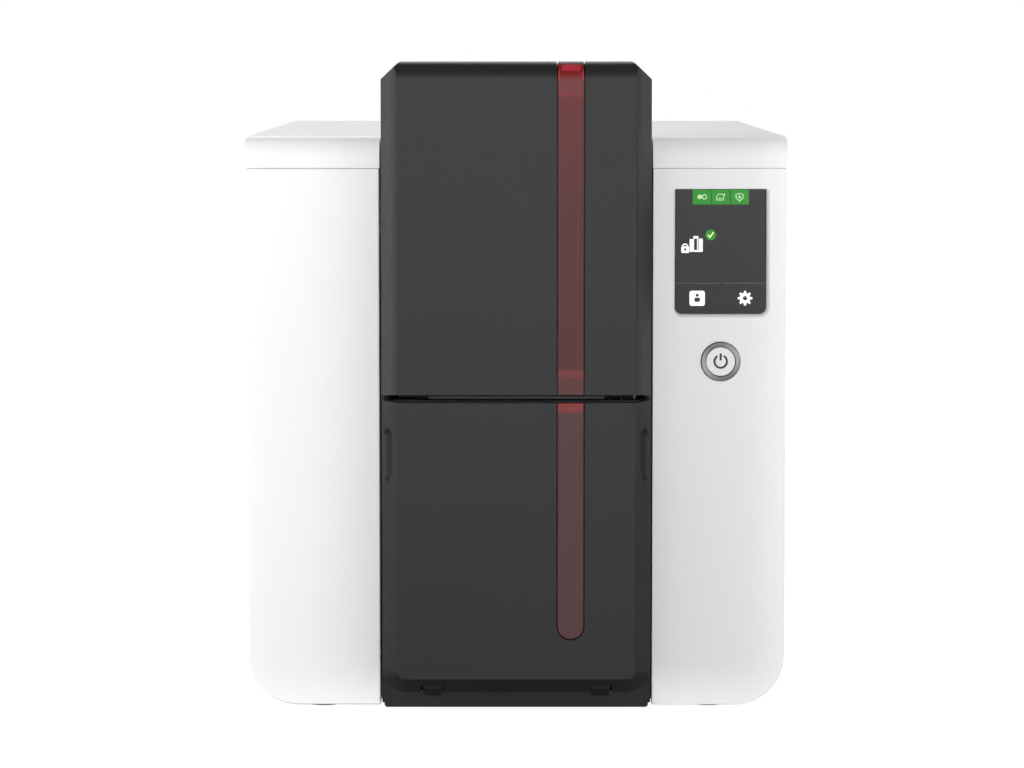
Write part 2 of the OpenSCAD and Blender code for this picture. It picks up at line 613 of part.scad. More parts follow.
// ---------- ribbon ----------
module spool(y, r) {
  rod_x(-30, 30, y, spool_z, r);
  rod_x(-32, -30, y, spool_z, 18);
  rod_x(30, 32, y, spool_z, 18);
  rod_x(-39, 39, y, spool_z, 4);
}
module ribbon_supply_spool() color([0.15, 0.2, 0.35]) spool(supply_y, 16);
module ribbon_takeup_spool() color([0.3, 0.12, 0.16]) spool(takeup_y, 12);
film_a = [takeup_y + 12.4 * cos(-35), spool_z + 12.4 * sin(-35)];
film_b = [supply_y - 16.4 * cos(-25), spool_z + 16.4 * sin(-25)];
module ribbon_film() color([0.3, 0.12, 0.2]) along_x(-28, 28) polygon([
  film_a, [platen_y - 10, 131.2], [platen_y + 10, 131.2], film_b,
  film_b + [-0.35, 0.15], [platen_y + 9.8, 131.55], [platen_y - 9.8, 131.55], film_a + [0.35, 0.2]]);
module ribbon_motor() color([0.6, 0.6, 0.62]) difference() {
  union() { rod_x(-66, -39.4, takeup_y, spool_z, 12); rod_x(-70, -66, takeup_y, spool_z, 4); }
  rod_x(-71, -67, takeup_y, spool_z, 2);
}

// ---------- control panel ----------
module control_board() color([0.1, 0.35, 0.2]) difference() {
  box(58, 98, yf + 12, yf + 13.6, 118, 202);
  for (x = [62, 94], z = [121.5, 199]) rod_y(yf + 10, yf + 20, x, z, 1.5);
}
module display_module() color([0.6, 0.6, 0.62]) difference() {
  box(60.2, 95.3, yf + 4, yf + 11.9, 152, 198.7);
  box(62, 93, yf + 10, yf + 13, 156, 194);
}
module display_glass() color([0.1, 0.1, 0.11]) along_y(yf + 0.3, yf + 3.6) screen_outline(0);
module power_button() color([0.93, 0.93, 0.93]) difference() {
  union() {
    rod_y(yf - 0.3, yf + 3, button_x, button_z, button_r);
    rod_y(yf + 2.4, yf + 3.4, button_x, button_z, button_r + 1);
    rod_y(yf + 3, yf + 8.2, button_x, button_z, 1.5);
  }
  // shallow power mark
  difference() {
    tube_y(yf - 1, yf - 0.05, button_x, button_z, 2.75, 2);
    box(button_x - 1.15, button_x + 1.15, yf - 2, yf, button_z, button_z + 4);
  }
  box(button_x - 0.4, button_x + 0.4, yf - 1, yf - 0.05, button_z + 0.4, button_z + 3.1);
}
module power_ring() color([0.75, 0.75, 0.76]) union() {
  tube_y(yf - 0.5, yf + 2.2, button_x, button_z, 7.35, button_r + 0.15);
}
module button_spring() color([0.7, 0.7, 0.7]) for (i = [0:4])
  translate([button_x, yf + 3.8 + i * 1.95, button_z]) rotate([90, 0, 0]) rotate_extrude() translate([3.1, 0]) circle(r = 0.3);
module button_switch() color([0.2, 0.2, 0.2]) union() {
  box(button_x - 1.7, button_x + 1.7, yf + 9.9, yf + 11.9, button_z - 1.7, button_z + 1.7);
  rod_y(yf + 9.4, yf + 10, button_x, button_z, 1);
}
module display_cable() color([0.9, 0.9, 0.86]) along_x(70, 82) polygon([
  [yf + 13.7, 150], [yf + 22, 150], [yf + 22, 20.6], [40, 20.6], [40, 15.8], [41, 15.8], [41, 21.4], [yf + 22.8, 21.4], [yf + 22.8, 150.8], [yf + 13.7, 150.8]]);

// ---------- electronics ----------
module mainboard() color([0.1, 0.35, 0.2]) difference() {
  union() {
    box(46, 92, 26, 182, 14.1, 15.7);
    box(50, 64, 60, 74, 15.6, 18);
    box(70, 82, 60, 80, 15.6, 17.5);
    for (i = [0:2]) translate([54 + 12 * i, 110, 15.6]) cylinder(r = 4, h = 10);
    box(50, 80, 130, 134, 15.6, 24);
  }
  for (y = [30, 172], x = [50, 80]) translate([x, y, 0]) cylinder(r = 1.2, h = 30);
}
module rear_ports() color([0.25, 0.25, 0.26]) {
  // power inlet, round with four pins
  difference() {
    box(79.8, 93.2, yr - 15, yr - 0.4, 16.2, 29.6);
    rod_y(yr - 12, yr + 1, 86.5, 22.9, 4.9);
  }
  for (a = [45:90:315]) rod_y(yr - 12.5, yr - 3, 86.5 + 2.4 * cos(a), 22.9 + 2.4 * sin(a), 0.6);
  // network jack
  difference() {
    box(61.9, 78.1, yr - 18, yr - 0.4, 16.2, 29.6);
    box(64.1, 75.9, yr - 14, yr + 1, 18.2, 24.9);
    box(67, 73, yr - 14, yr + 1, 24, 27.9);
  }
  // square serial bus port
  difference() {
    box(47.9, 60.1, yr - 16, yr - 0.4, 16.2, 27.1);
    box(49.8, 58.2, yr - 12, yr + 1, 17.8, 25.6);
  }
  box(51.2, 56.8, yr - 12.5, yr - 2, 20.1, 23.3);
}
fan_x = -60; fan_z = 120;
module fan_housing() color([0.12, 0.12, 0.12]) difference() {
  box(fan_x - 20, fan_x + 20, yr - 13, yr - 2.7, fan_z - 20, fan_z + 20);
  difference() {
    rod_y(yr - 14, yr, fan_x, fan_z, 18.6);
    rod_y(yr - 13, yr - 11, fan_x, fan_z, 8);
    for (a = [0, 120, 240]) translate([fan_x, yr - 12, fan_z]) rotate([0, a, 0]) box(0, 19, -1, 0.6, -1.2, 1.2);
  }
  for (a = [-1, 1], b = [-1, 1]) rod_y(yr - 14, yr, fan_x + a * 16, fan_z + b * 16, 1.6);
}
module fan_rotor() color([0.15, 0.15, 0.15]) {
  rod_y(yr - 10.6, yr - 4, fan_x, fan_z, 8.5);
  for (a = [0:51.4286:359]) translate([fan_x, yr - 7.3, fan_z]) rotate([0, a, 0]) translate([7.5, 0, 0])
    rotate([38, 0, 0]) translate([0, -0.5, -3.6]) cube([10, 1, 7.2]);
}
module reject_tray() color([0.22, 0.22, 0.23]) difference() {
  box(-32.6, 32.6, 84, yr, 36.2, 72.8);
  box(-30.4, 30.4, 86, yr - 2.6, 38.4, 80);
  box(-12, 12, yr - 1.6, yr + 1, 62, 67.5);
}
module tray_shelf() color([0.7, 0.71, 0.73]) difference() {
  box(-35.8, 35.8, 82, 150, 33.6, 35.4);
  for (x = [-20, 20], y = [100, 130]) translate([x, y, 30]) cylinder(r = 5, h = 10);
}

base_pan();
rubber_feet();
left_cover();
right_cover();
rear_panel();
case_screws();
front_bezel();
hood();
hood_hinge_pins();
hood_catch();
print_head_bracket();
print_head();
feeder_housing();
feeder_door();
feeder_window();
feeder_hinge_pins();
card_pusher();
thickness_gauge();
output_door();
output_window();
output_hinge_pins();
output_bin();
frame_left_plate();
frame_right_plate();
frame_cross_bars();
card_guide();
shaft_bushings();
pick_roller();
pick_pulley();
front_roller();
front_pulley();
cleaning_roller();
platen_roller();
platen_pulley();
rear_roller();
rear_pulley();
front_pinch_roller();
rear_pinch_roller();
roller_belt();
motor_belt();
motor_pulley();
main_motor();
ribbon_supply_spool();
ribbon_takeup_spool();
ribbon_film();
ribbon_motor();
control_board();
display_module();
display_glass();
power_button();
power_ring();
button_spring();
button_switch();
display_cable();
mainboard();
rear_ports();
fan_housing();
fan_rotor();
reject_tray();
tray_shelf();
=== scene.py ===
"""Looks of the desktop card printer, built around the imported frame. Metres, +Z up, the front faces -Y."""
import json
import math

import bmesh
import bpy
from mathutils import Matrix, Vector
from mathutils.bvhtree import BVHTree


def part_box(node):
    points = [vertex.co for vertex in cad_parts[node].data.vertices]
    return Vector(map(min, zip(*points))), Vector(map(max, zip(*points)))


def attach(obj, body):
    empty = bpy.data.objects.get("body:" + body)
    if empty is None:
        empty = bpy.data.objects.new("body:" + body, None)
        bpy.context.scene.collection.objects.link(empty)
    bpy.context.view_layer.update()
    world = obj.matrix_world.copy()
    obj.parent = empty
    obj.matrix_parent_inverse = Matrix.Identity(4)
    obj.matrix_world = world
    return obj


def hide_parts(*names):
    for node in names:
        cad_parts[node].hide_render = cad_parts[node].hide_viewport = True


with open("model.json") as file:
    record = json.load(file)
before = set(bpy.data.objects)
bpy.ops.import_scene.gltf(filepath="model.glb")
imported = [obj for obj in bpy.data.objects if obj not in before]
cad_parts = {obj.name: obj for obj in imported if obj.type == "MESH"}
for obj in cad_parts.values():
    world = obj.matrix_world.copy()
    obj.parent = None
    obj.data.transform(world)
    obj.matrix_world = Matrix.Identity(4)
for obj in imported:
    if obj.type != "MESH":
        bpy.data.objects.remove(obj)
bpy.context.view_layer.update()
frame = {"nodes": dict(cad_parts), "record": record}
NODES = frame["nodes"]
BODY_OF = {n: b for b, ns in frame["record"]["behaviour"]["bodies"].items() for n in ns}
SLOT_OF = {s["node"]: s["material_slot"] for s in frame["record"]["subparts"]}
COL = bpy.context.scene.collection
MM = 0.001

# ------------------------------------------------------------------ camera
cam_data = bpy.data.cameras.new("camera")
cam_data.sensor_width = 36.0
cam_data.lens = 135.0
cam_data.shift_x = -0.00415
cam_data.shift_y = 0.0005
cam_data.clip_start = 0.05
cam_data.clip_end = 60
cam = bpy.data.objects.new("camera", cam_data)
cam.location = (0.0, -1.5695, 0.2513)
cam.rotation_euler = (math.radians(90 - 4.98), 0, 0)
COL.objects.link(cam)
bpy.context.scene.camera = cam

# photograph's pixel to a point on the plane Y = y, the same camera as above
F_PX, CX, CY, TILT = 3840.0, 516.25, 384.5, math.radians(4.98)


def px(u, v, y=-0.1195):
    t = (CY - v) / F_PX
    dy = y - cam.location.y
    dz = dy * (t * math.cos(TILT) - math.sin(TILT)) / (math.cos(TILT) + t * math.sin(TILT))
    d = dy * math.cos(TILT) - dz * math.sin(TILT)
    return (u - CX) * d / F_PX, cam.location.z + dz


# ------------------------------------------------------------------ materials
def material(name):
    m = bpy.data.materials.new(name)
    m.use_nodes = True
    nt = m.node_tree
    nt.nodes.clear()
    out = nt.nodes.new("ShaderNodeOutputMaterial")
    bsdf = nt.nodes.new("ShaderNodeBsdfPrincipled")
    nt.links.new(bsdf.outputs[0], out.inputs[0])
    return m, nt, bsdf, out


def coords(nt, scale=1.0, stretch=(1, 1, 1)):
    tc = nt.nodes.new("ShaderNodeTexCoord")
    mp = nt.nodes.new("ShaderNodeMapping")
    mp.inputs["Scale"].default_value = tuple(scale * s for s in stretch)
    nt.links.new(tc.outputs["Object"], mp.inputs["Vector"])
    return mp.outputs["Vector"]


def noise(nt, vec, scale, detail=3.0, rough=0.5):
    n = nt.nodes.new("ShaderNodeTexNoise")
    n.inputs["Scale"].default_value = scale
    n.inputs["Detail"].default_value = detail
    n.inputs["Roughness"].default_value = rough
    nt.links.new(vec, n.inputs["Vector"])
    return n.outputs["Fac"]


def remap(nt, val, a, b, lo, hi):
    r = nt.nodes.new("ShaderNodeMapRange")
    r.inputs["From Min"].default_value = a
    r.inputs["From Max"].default_value = b
    r.inputs["To Min"].default_value = lo
    r.inputs["To Max"].default_value = hi
    nt.links.new(val, r.inputs["Value"])
    return r.outputs["Result"]


def two_tone(nt, val, c0, c1, p0=0.35, p1=0.65):
    r = nt.nodes.new("ShaderNodeValToRGB")
    r.color_ramp.elements[0].position = p0
    r.color_ramp.elements[0].color = (*c0, 1)
    r.color_ramp.elements[1].position = p1
    r.color_ramp.elements[1].color = (*c1, 1)
    nt.links.new(val, r.inputs["Fac"])
    return r.outputs["Color"]


def bump(nt, bsdf, height, strength, dist, chain=None):
    b = nt.nodes.new("ShaderNodeBump")
    b.inputs["Strength"].default_value = strength
    b.inputs["Distance"].default_value = dist
    nt.links.new(height, b.inputs["Height"])
    if chain is not None:
        nt.links.new(chain, b.inputs["Normal"])
    nt.links.new(b.outputs["Normal"], bsdf.inputs["Normal"])
    return b.outputs["Normal"]


def edge_wear(nt, col, worn, amount=0.5, width=0.0012):
    """Slightly paler edges, from the surface's own convexity."""
    bev = nt.nodes.new("ShaderNodeBevel")
    bev.samples = 4
    bev.inputs["Radius"].default_value = width
    geo = nt.nodes.new("ShaderNodeNewGeometry")
    dot = nt.nodes.new("ShaderNodeVectorMath")
    dot.operation = "DOT_PRODUCT"
    nt.links.new(bev.outputs["Normal"], dot.inputs[0])
    nt.links.new(geo.outputs["Normal"], dot.inputs[1])
    f = remap(nt, dot.outputs["Value"], 1.0, 0.75, 0.0, amount)
    mix = nt.nodes.new("ShaderNodeMix")
    mix.data_type = "RGBA"
    nt.links.new(f, mix.inputs["Factor"])
    nt.links.new(col, mix.inputs[6])
    mix.inputs[7].default_value = (*worn, 1)
    return mix.outputs[2]


def moulded(name, c0, c1, rough=(0.4, 0.5), grain=900.0, grain_bump=0.06, spec=0.5, wave=0.02):
    """Moulded plastic: spark-eroded grain, faint flow clouding, faint waviness of the tool face."""
    m, nt, b, out = material(name)
    v = coords(nt)
    cloud = noise(nt, v, 9.0, 4.0)
    fine = noise(nt, v, grain, 2.0, 0.6)
    nt.links.new(two_tone(nt, cloud, c0, c1), b.inputs["Base Color"])
    nt.links.new(remap(nt, fine, 0.3, 0.7, *rough), b.inputs["Roughness"])
    n1 = bump(nt, b, noise(nt, v, 22.0, 1.0), wave, 0.002)
    bump(nt, b, fine, grain_bump, 0.0001, n1)
    b.inputs["Specular IOR Level"].default_value = spec
    return m


MAT = {}
MAT["white_plastic"] = moulded("white_plastic", (0.865, 0.865, 0.867), (0.88, 0.88, 0.882), (0.34, 0.44), 1100, 0.05, 0.45)
MAT["black_plastic"] = moulded("black_plastic", (0.0072, 0.0072, 0.0073), (0.0085, 0.0085, 0.0086), (0.42, 0.50), 1400, 0.10, 0.30)
MAT["dark_plastic"] = moulded("dark_plastic", (0.0080, 0.0080, 0.0082), (0.0095, 0.0095, 0.0097), (0.5, 0.6), 900, 0.12, 0.16)
MAT["grey_plastic"] = moulded("grey_plastic", (0.20, 0.20, 0.205), (0.24, 0.24, 0.245), (0.45, 0.55), 900, 0.1)
MAT["light_plastic"] = moulded("light_plastic", (0.55, 0.55, 0.545), (0.6, 0.6, 0.595), (0.4, 0.5), 900, 0.08)
MAT["orange_plastic"] = moulded("orange_plastic", (0.55, 0.16, 0.03), (0.62, 0.19, 0.04), (0.35, 0.45), 900, 0.08)
MAT["rubber"] = moulded("rubber", (0.018, 0.018, 0.018), (0.028, 0.028, 0.027), (0.7, 0.85), 600, 0.3, 0.3)
MAT["cleaning_rubber"] = moulded("cleaning_rubber", (0.10, 0.24, 0.42), (0.13, 0.29, 0.48), (0.3, 0.45), 700, 0.1)
MAT["cable"] = moulded("cable", (0.6, 0.6, 0.55), (0.68, 0.68, 0.62), (0.35, 0.45), 800, 0.06)


def metal(name, c0, c1, rough=(0.25, 0.4), stretch=(1, 60, 60), scale=40.0, b_strength=0.08):
    m, nt, b, out = material(name)
    v = coords(nt, 1.0, stretch)
    n = noise(nt, v, scale, 4.0, 0.6)
    nt.links.new(two_tone(nt, n, c0, c1, 0.3, 0.7), b.inputs["Base Color"])
    nt.links.new(remap(nt, n, 0.3, 0.7, *rough), b.inputs["Roughness"])
    bump(nt, b, n, b_strength, 0.0001)
    b.inputs["Metallic"].default_value = 1.0
    return m


MAT["steel"] = metal("steel", (0.42, 0.43, 0.44), (0.58, 0.59, 0.60))
MAT["polished_steel"] = metal("polished_steel", (0.62, 0.62, 0.63), (0.72, 0.72, 0.73), (0.08, 0.16), (1, 40, 40), 30, 0.03)
MAT["bronze"] = metal("bronze", (0.36, 0.23, 0.09), (0.48, 0.32, 0.14), (0.3, 0.45))
MAT["motor_case"] = moulded("motor_case", (0.02, 0.02, 0.021), (0.03, 0.03, 0.031), (0.3, 0.42), 500, 0.2)


def ring_metal():
    """Turned aluminium: the brushing runs round the button's axis."""
    m, nt, b, out = material("ring_metal")
    tc = nt.nodes.new("ShaderNodeTexCoord")
    sub = nt.nodes.new("ShaderNodeVectorMath")
    sub.operation = "SUBTRACT"
    sub.inputs[1].default_value = (0.0774, 0.0, 0.1337)
    nt.links.new(tc.outputs["Object"], sub.inputs[0])
    sep = nt.nodes.new("ShaderNodeSeparateXYZ")
    nt.links.new(sub.outputs[0], sep.inputs[0])
    comb = nt.nodes.new("ShaderNodeCombineXYZ")
    nt.links.new(sep.outputs["X"], comb.inputs["X"])
    nt.links.new(sep.outputs["Z"], comb.inputs["Y"])
    ln = nt.nodes.new("ShaderNodeVectorMath")
    ln.operation = "LENGTH"
    nt.links.new(comb.outputs[0], ln.inputs[0])
    at = nt.nodes.new("ShaderNodeMath")
    at.operation = "ARCTAN2"
    nt.links.new(sep.outputs["Z"], at.inputs[0])
    nt.links.new(sep.outputs["X"], at.inputs[1])
    # brushed rings
    c2 = nt.nodes.new("ShaderNodeCombineXYZ")
    nt.links.new(ln.outputs["Value"], c2.inputs["X"])
    n = noise(nt, c2.outputs[0], 9000.0, 2.0)
    # painted reflection: broad light and dark sectors round the ring, standing in for how turned metal catches the
    # lamps
    mul = nt.nodes.new("ShaderNodeMath")
    mul.operation = "MULTIPLY"
    mul.inputs[1].default_value = 2.0
    nt.links.new(at.outputs[0], mul.inputs[0])
    add = nt.nodes.new("ShaderNodeMath")
    add.operation = "ADD"
    add.inputs[1].default_value = 0.9
    nt.links.new(mul.outputs[0], add.inputs[0])
    sn = nt.nodes.new("ShaderNodeMath")
    sn.operation = "SINE"
    nt.links.new(add.outputs[0], sn.inputs[0])
    painted_sectors = two_tone(nt, remap(nt, sn.outputs[0], -1, 1, 0, 1), (0.095, 0.095, 0.097), (0.19, 0.19, 0.193), 0.1, 0.9)
    mix = nt.nodes.new("ShaderNodeMix")
    mix.data_type = "RGBA"
    mix.blend_type = "MULTIPLY"
    mix.inputs["Factor"].default_value = 0.5
    nt.links.new(painted_sectors, mix.inputs[6])
    nt.links.new(two_tone(nt, n, (0.8, 0.8, 0.8), (1, 1, 1)), mix.inputs[7])
    nt.links.new(mix.outputs[2], b.inputs["Base Color"])
    nt.links.new(remap(nt, n, 0.3, 0.7, 0.22, 0.34), b.inputs["Roughness"])
    bump(nt, b, n, 0.08, 0.0001)
    b.inputs["Metallic"].default_value = 0.85
    return m


MAT["ring_metal"] = ring_metal()


def math_node(nt, op, a, b=None):
    n = nt.nodes.new("ShaderNodeMath")
    n.operation = op
    for i, val in enumerate((a, b)):
        if val is None:
            continue
        if isinstance(val, (int, float)):
            n.inputs[i].default_value = val
        else:
            nt.links.new(val, n.inputs[i])
    return n.outputs[0]


def mix_col(nt, fac, col, tint, mode="MIX"):
    """col, with tint laid over it where fac is 1."""
    mix = nt.nodes.new("ShaderNodeMix")
    mix.data_type = "RGBA"
    mix.blend_type = mode
    nt.links.new(fac, mix.inputs["Factor"])
    nt.links.new(col, mix.inputs[6])
    if isinstance(tint, tuple):
        mix.inputs[7].default_value = (*tint, 1)
    else:
        nt.links.new(tint, mix.inputs[7])
    return mix.outputs[2]


def ramp_band(nt, val, lo, hi, soft):
    """1 between lo and hi, 0 outside, with soft shoulders."""
    up = remap(nt, val, lo - soft, lo + soft, 0.0, 1.0)
    down = remap(nt, val, hi - soft, hi + soft, 1.0, 0.0)
    return math_node(nt, "MULTIPLY", up, down)


STRIP_X, STRIP_HALF, STRIP_ARC_Z = 0.01965, 0.0046, 0.0431
YM = -0.1905


def red_window():
    """Translucent red plastic set into the doors, with light and shade painted into its colour: painted shade where
    its side walls are seen through it, a painted brighter red where light enters over the rolled top edge and at the
    ends next to the gap."""
    m, nt, b, out = material("red_window")
    v = coords(nt)
    tc = nt.nodes.new("ShaderNodeTexCoord")
    sep = nt.nodes.new("ShaderNodeSeparateXYZ")
    nt.links.new(tc.outputs["Object"], sep.inputs[0])
    dx = math_node(nt, "SUBTRACT", sep.outputs["X"], STRIP_X)
    dz = math_node(nt, "MINIMUM", math_node(nt, "SUBTRACT", sep.outputs["Z"], STRIP_ARC_Z), 0.0)
    d = math_node(nt, "SQRT", math_node(nt, "ADD", math_node(nt, "MULTIPLY", dx, dx), math_node(nt, "MULTIPLY", dz, dz)))
    cloud = noise(nt, v, 14.0, 3.0)
    fine = noise(nt, v, 1200.0, 2.0)
    col = two_tone(nt, cloud, RED_A, RED_B)
    # painted light and shade in bands by height: brighter where light is piped along the top roll and into the two
    # ends at the gap between the doors, darker in the gap itself
    z = sep.outputs["Z"]
    for v0, v1, tint, amount in RED_PAINTED_LIGHT_BANDS:
        band = ramp_band(nt, z, px(0, v1, YM)[1], px(0, v0, YM)[1], 0.00025)
        col = mix_col(nt, math_node(nt, "MULTIPLY", band, amount), col, tint)
    # painted light: a brighter red towards the top, where light comes in over the roll
    painted_top_light = math_node(nt, "MULTIPLY", remap(nt, z, px(0, 210, YM)[1], px(0, 97, YM)[1], 0.0, 1.0), ramp_band(nt, z, 0.0, px(0, 97, YM)[1], 0.00025))
    col = mix_col(nt, painted_top_light, col, (0.098, 0.0112, 0.0112))
    line = ramp_band(nt, sep.outputs["X"], 0.02195, 0.02225, 0.0001)
    col = mix_col(nt, math_node(nt, "MULTIPLY", line, 0.35), col, (0.16, 0.02, 0.02))
    # painted light and shade on the roll at the top: a painted brighter arch in the middle, painted highlights on the
    # side edges under it, painted shade above
    edge = remap(nt, d, STRIP_HALF - 0.0007, STRIP_HALF - 0.0003, 0.0, 1.0)
    inner = math_node(nt, "SUBTRACT", 1.0, remap(nt, d, 0.0028, 0.0038, 0.0, 1.0))
    arch = ramp_band(nt, z, px(0, 70.5, YM)[1], px(0, 64.5, YM)[1], 0.00025)
    col = mix_col(nt, math_node(nt, "MULTIPLY", arch, inner), col, (0.37, 0.022, 0.034))
    roll = ramp_band(nt, z, px(0, 80, YM)[1], px(0, 70, YM)[1], 0.0003)
    col = mix_col(nt, math_node(nt, "MULTIPLY", roll, math_node(nt, "MULTIPLY", edge, 0.8)), col, (0.30, 0.03, 0.035))
    top = remap(nt, z, px(0, 64.6, YM)[1], px(0, 63.4, YM)[1], 0.0, 1.0)
    col = mix_col(nt, math_node(nt, "MULTIPLY", top, 0.85), col, (0.035, 0.006, 0.007))
    # the step beside the strip lies in the shadow of the gap
    step = remap(nt, d, STRIP_HALF + 0.00002, STRIP_HALF + 0.0001, 0.0, 1.0)
    col = mix_col(nt, step, col, (0.014, 0.0016, 0.0018))
    nt.links.new(col, b.inputs["Base Color"])
    nt.links.new(remap(nt, fine, 0.3, 0.7, 0.40, 0.48), b.inputs["Roughness"])
    bump(nt, b, fine, 0.03, 0.0001)
    b.inputs["Specular IOR Level"].default_value = 0.24
    b.inputs["Transmission Weight"].default_value = 0.12
    return m


RED_A, RED_B = (0.057, 0.0210, 0.0215), (0.063, 0.0235, 0.0240)
# painted light and shade on the red window, in bands by height: top row, bottom row, colour, amount
RED_PAINTED_LIGHT_BANDS = (
    (60, 79, (0.143, 0.005, 0.006), 1.0), (79, 97, (0.118, 0.0180, 0.0185), 1.0), (91, 96.5, (0.15, 0.0165, 0.0165), 0.8),
    (97, 370, (0.0665, 0.0108, 0.0112), 0.9), (370, 379, (0.131, 0.019, 0.019), 1.0), (379, 394.5, (0.076, 0.019, 0.019), 0.9),
    (394.5, 400, (0.05, 0.004, 0.006), 0.9), (401, 407, (0.180, 0.0168, 0.0165), 1.0), (407, 412.5, (0.177, 0.0200, 0.0210), 1.0),
)
MAT["red_window"] = red_window()


def glass_black():
    """Cover glass of the lit screen: dark grey, evenly lit from behind, a soft sheen in front."""
    m, nt, b, out = material("glass")
    v = coords(nt)
    cloud = noise(nt, v, 30.0, 2.0)
    col = two_tone(nt, cloud, (0.0247, 0.0235, 0.0239), (0.0256, 0.0243, 0.0248))
    nt.links.new(col, b.inputs["Base Color"])
    nt.links.new(col, b.inputs["Emission Color"])
    b.inputs["Emission Strength"].default_value = 0.5
    nt.links.new(remap(nt, noise(nt, v, 300, 2), 0.3, 0.7, 0.22, 0.30), b.inputs["Roughness"])
    b.inputs["Specular IOR Level"].default_value = 0.12
    return m


MAT["glass"] = glass_black()


def board_mat():
    """Solder mask over tracks: a square maze of slightly paler lines."""
    m, nt, b, out = material("board")
    v = coords(nt, 700.0)
    br = nt.nodes.new("ShaderNodeTexBrick")
    br.inputs["Color1"].default_value = (0.012, 0.075, 0.035, 1)
    br.inputs["Color2"].default_value = (0.016, 0.095, 0.045, 1)
    br.inputs["Mortar"].default_value = (0.03, 0.16, 0.08, 1)
    br.inputs["Scale"].default_value = 1.0
    br.inputs["Mortar Size"].default_value = 0.06
    nt.links.new(v, br.inputs["Vector"])
    nt.links.new(br.outputs["Color"], b.inputs["Base Color"])
    b.inputs["Roughness"].default_value = 0.35
    bump(nt, b, br.outputs["Fac"], 0.1, 0.0001)
    return m


MAT["board"] = board_mat()


def ribbon_mat():
    """Dye ribbon: repeating panels along the film's run."""
    m, nt, b, out = material("ribbon")
    tc = nt.nodes.new("ShaderNodeTexCoord")
    sep = nt.nodes.new("ShaderNodeSeparateXYZ")
    nt.links.new(tc.outputs["Object"], sep.inputs[0])
    f = nt.nodes.new("ShaderNodeMath")
    f.operation = "MULTIPLY"
    f.inputs[1].default_value = 12.0
    nt.links.new(sep.outputs["Y"], f.inputs[0])
    fr = nt.nodes.new("ShaderNodeMath")
    fr.operation = "FRACT"
    nt.links.new(f.outputs[0], fr.inputs[0])
    r = nt.nodes.new("ShaderNodeValToRGB")
    r.color_ramp.interpolation = "CONSTANT"
    r.color_ramp.elements[0].color = (0.55, 0.42, 0.03, 1)
    r.color_ramp.elements[1].position = 0.25
    r.color_ramp.elements[1].color = (0.35, 0.03, 0.14, 1)
    for p, c in ((0.5, (0.02, 0.14, 0.33, 1)), (0.75, (0.02, 0.02, 0.02, 1))):
        e = r.color_ramp.elements.new(p)
        e.color = c
    nt.links.new(fr.outputs[0], r.inputs["Fac"])
    nt.links.new(r.outputs["Color"], b.inputs["Base Color"])
    v = coords(nt)
    nt.links.new(remap(nt, noise(nt, v, 400, 2), 0.3, 0.7, 0.14, 0.24), b.inputs["Roughness"])
    return m


MAT["ribbon"] = ribbon_mat()


def glow(name, c0, c1, strength):
    """A lit patch of the screen."""
    m, nt, b, out = material(name)
    v = coords(nt)
    col = two_tone(nt, noise(nt, v, 500.0, 1.0), c0, c1)
    nt.links.new(col, b.inputs["Base Color"])
    nt.links.new(col, b.inputs["Emission Color"])
    b.inputs["Emission Strength"].default_value = strength
    b.inputs["Roughness"].default_value = 0.3
    b.inputs["Specular IOR Level"].default_value = 0.1
    return m


# ------------------------------------------------------------------ mesh helpers
def link(ob):
    COL.objects.link(ob)
    return ob


def clean_copy(node, dissolve=True):
    """The node's own mesh as clean flat faces, so that its edges can be rounded."""
    me = NODES[node].data.copy()
    bm = bmesh.new()
    bm.from_mesh(me)
    bmesh.ops.remove_doubles(bm, verts=bm.verts, dist=2e-6)
    bmesh.ops.dissolve_degenerate(bm, dist=1e-6, edges=bm.edges)
    if dissolve:
        bmesh.ops.dissolve_limit(bm, angle_limit=math.radians(0.6), use_dissolve_boundaries=False, verts=bm.verts, edges=bm.edges)
        bmesh.ops.connect_verts_concave(bm, faces=[f for f in bm.faces if len(f.verts) > 4])
    bmesh.ops.recalc_face_normals(bm, faces=bm.faces)
    bm.to_mesh(me)
    bm.free()
    return me


def round_edges(ob, width, segs=3, angle=32):
    for p in ob.data.polygons:
        p.use_smooth = True
    if width > 0:
        bv = ob.modifiers.new("edge", "BEVEL")
        bv.width = width
        bv.segments = segs
        bv.limit_method = "ANGLE"
        bv.angle_limit = math.radians(angle)
        bv.use_clamp_overlap = True
        bv.loop_slide = False
        bv.face_strength_mode = "FSTR_ALL"
        wn = ob.modifiers.new("normals", "WEIGHTED_NORMAL")
        wn.keep_sharp = True
        wn.use_face_influence = True
        wn.weight = 60
    else:
        bm = bmesh.new()
        bm.from_mesh(ob.data)
        for e in bm.edges:
            e.smooth = not (len(e.link_faces) == 2 and e.calc_face_angle(0) > math.radians(25))
        bm.to_mesh(ob.data)
        bm.free()
    return ob


def strays(ob, node, width):
    """How far the rounded surface leaves the node's own, and whether it stays closed."""
    dg = bpy.context.evaluated_depsgraph_get()
    ev = ob.evaluated_get(dg)
    me = ev.to_mesh()
    bm = bmesh.new()
    bm.from_mesh(me)
    bmesh.ops.triangulate(bm, faces=bm.faces)
    tree = BVHTree.FromPolygons([v.co.copy() for v in NODES[node].data.vertices], [tuple(p.vertices) for p in NODES[node].data.polygons])
    worst = 0.0
    for f in bm.faces:
        hit = tree.find_nearest(f.calc_center_median())
        worst = max(worst, hit[3])
    for v in bm.verts:
        worst = max(worst, tree.find_nearest(v.co)[3])
    open_edges = sum(1 for e in bm.edges if len(e.link_faces) != 2)
    vol = bm.calc_volume(signed=True)
    bm.free()
    ev.to_mesh_clear()
    return worst, open_edges, vol


